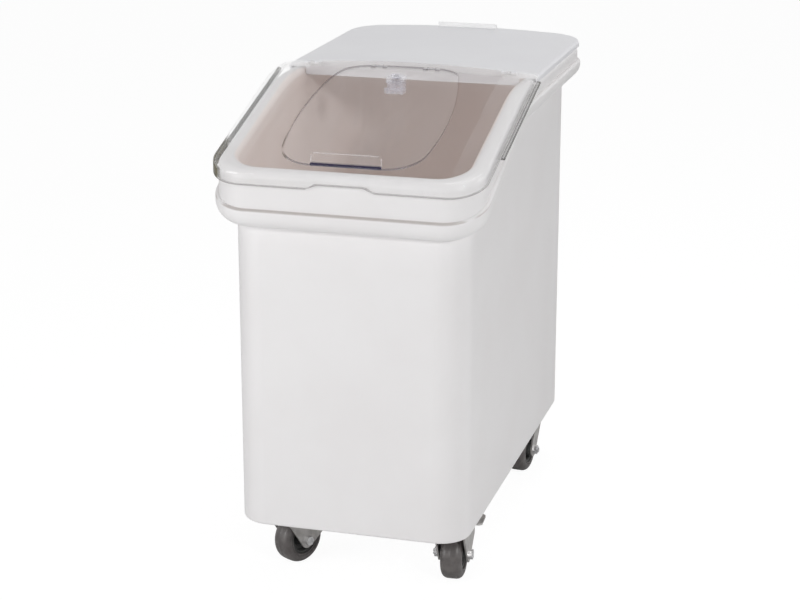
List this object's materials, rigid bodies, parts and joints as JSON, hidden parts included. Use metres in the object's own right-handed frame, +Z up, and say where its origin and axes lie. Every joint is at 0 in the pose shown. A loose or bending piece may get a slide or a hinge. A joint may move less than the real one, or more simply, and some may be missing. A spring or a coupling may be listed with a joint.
{
  "type": "rolling ingredient bin",
  "caption": "White rolling ingredient bin with a sloped front, a clear hinged lid with a scoop flap, a lift-off rear lid and swivel casters.",
  "frame": {"origin": "on the floor under the middle of the bin's overall length and width", "axes": "+Z up, -Y towards the low front with the clear lid, +X to the right as seen from behind the bin"},
  "size_m": [0.402, 0.712, 0.721],
  "materials": {
    "white_plastic": "satin moulded",
    "lid_plastic": "satin moulded",
    "tab_plastic": "satin, slightly translucent",
    "clear_plastic": "clear polished",
    "clear_plastic_pins": "natural nylon",
    "zinc_steel": "zinc plated",
    "bright_steel": "bright plated",
    "wheel_plastic": "satin",
    "tyre_rubber": "matt"
  },
  "bodies": {
    "bin": {"bin_body": "white_plastic", "caster_bolts": "bright_steel", "caster_nuts": "bright_steel", "caster_plate_front_left": "zinc_steel", "kingpin_front_left": "zinc_steel", "caster_plate_front_right": "zinc_steel", "kingpin_front_right": "zinc_steel", "caster_plate_rear_right": "zinc_steel", "kingpin_rear_right": "zinc_steel", "caster_plate_rear_left": "zinc_steel", "kingpin_rear_left": "zinc_steel"},
    "rear_lid": {"rear_lid": "lid_plastic", "lid_hinge_pins": "clear_plastic_pins", "lift_tab": "tab_plastic"},
    "front_lid": {"front_lid": "clear_plastic", "flap_hinge_pins": "clear_plastic_pins"},
    "scoop_flap": {"scoop_flap": "clear_plastic", "scoop_hook": "clear_plastic", "hook_washer": "tab_plastic"},
    "fork_front_left": {"fork_front_left": "zinc_steel", "swivel_balls_front_left": "bright_steel", "axle_sleeve_front_left": "zinc_steel", "axle_bolt_front_left": "bright_steel", "axle_nut_front_left": "bright_steel", "brake_pin_front_left": "zinc_steel"},
    "wheel_front_left": {"wheel_core_front_left": "wheel_plastic", "tyre_front_left": "tyre_rubber"},
    "brake_front_left": {"brake_pedal_front_left": "zinc_steel"},
    "fork_front_right": {"fork_front_right": "zinc_steel", "swivel_balls_front_right": "bright_steel", "axle_sleeve_front_right": "zinc_steel", "axle_bolt_front_right": "bright_steel", "axle_nut_front_right": "bright_steel", "brake_pin_front_right": "zinc_steel"},
    "wheel_front_right": {"wheel_core_front_right": "wheel_plastic", "tyre_front_right": "tyre_rubber"},
    "brake_front_right": {"brake_pedal_front_right": "zinc_steel"},
    "fork_rear_right": {"fork_rear_right": "zinc_steel", "swivel_balls_rear_right": "bright_steel", "axle_sleeve_rear_right": "zinc_steel", "axle_bolt_rear_right": "bright_steel", "axle_nut_rear_right": "bright_steel"},
    "wheel_rear_right": {"wheel_core_rear_right": "wheel_plastic", "tyre_rear_right": "tyre_rubber"},
    "fork_rear_left": {"fork_rear_left": "zinc_steel", "swivel_balls_rear_left": "bright_steel", "axle_sleeve_rear_left": "zinc_steel", "axle_bolt_rear_left": "bright_steel", "axle_nut_rear_left": "bright_steel"},
    "wheel_rear_left": {"wheel_core_rear_left": "wheel_plastic", "tyre_rear_left": "tyre_rubber"}
  },
  "joints": [
    {"name": "rear_lid_lift", "type": "slide", "parent": "bin", "child": "rear_lid", "axis": [0, 0, 1], "range_m": [0, 0.08]},
    {"name": "front_lid_hinge", "type": "hinge", "parent": "rear_lid", "child": "front_lid", "pos_m": [0, -0.01, 0.7115], "axis": [-1, 0, 0], "range_deg": [0, 110]},
    {"name": "scoop_flap_hinge", "type": "hinge", "parent": "front_lid", "child": "scoop_flap", "pos_m": [0, -0.03, 0.71534], "axis": [-1, 0, 0], "range_deg": [0, 65]},
    {"name": "swivel_front_left", "type": "hinge", "parent": "bin", "child": "fork_front_left", "pos_m": [-0.13, -0.252, 0.09], "axis": [0, 0, 1], "continuous": true},
    {"name": "roll_front_left", "type": "hinge", "parent": "fork_front_left", "child": "wheel_front_left", "pos_m": [-0.11255, -0.22051, 0.0375], "axis": [-0.8746, 0.4848, 0], "continuous": true},
    {"name": "brake_front_left", "type": "hinge", "parent": "fork_front_left", "child": "brake_front_left", "pos_m": [-0.09412, -0.18728, 0.058], "axis": [-0.8746, 0.4848, 0], "range_deg": [0, 18]},
    {"name": "swivel_front_right", "type": "hinge", "parent": "bin", "child": "fork_front_right", "pos_m": [0.13, -0.252, 0.09], "axis": [0, 0, 1], "continuous": true},
    {"name": "roll_front_right", "type": "hinge", "parent": "fork_front_right", "child": "wheel_front_right", "pos_m": [0.12749, -0.21609, 0.0375], "axis": [-0.9976, -0.0698, 0], "continuous": true},
    {"name": "brake_front_right", "type": "hinge", "parent": "fork_front_right", "child": "brake_front_right", "pos_m": [0.12484, -0.17818, 0.058], "axis": [-0.9976, -0.0698, 0], "range_deg": [0, 18]},
    {"name": "swivel_rear_right", "type": "hinge", "parent": "bin", "child": "fork_rear_right", "pos_m": [0.13, 0.262, 0.09], "axis": [0, 0, 1], "continuous": true},
    {"name": "roll_rear_right", "type": "hinge", "parent": "fork_rear_right", "child": "wheel_rear_right", "pos_m": [0.12686, 0.22614, 0.0375], "axis": [0.9962, -0.0872, 0], "continuous": true},
    {"name": "swivel_rear_left", "type": "hinge", "parent": "bin", "child": "fork_rear_left", "pos_m": [-0.13, 0.262, 0.09], "axis": [0, 0, 1], "continuous": true},
    {"name": "roll_rear_left", "type": "hinge", "parent": "fork_rear_left", "child": "wheel_rear_left", "pos_m": [-0.14349, 0.22862, 0.0375], "axis": [0.9272, -0.3746, 0], "continuous": true}
  ]
}
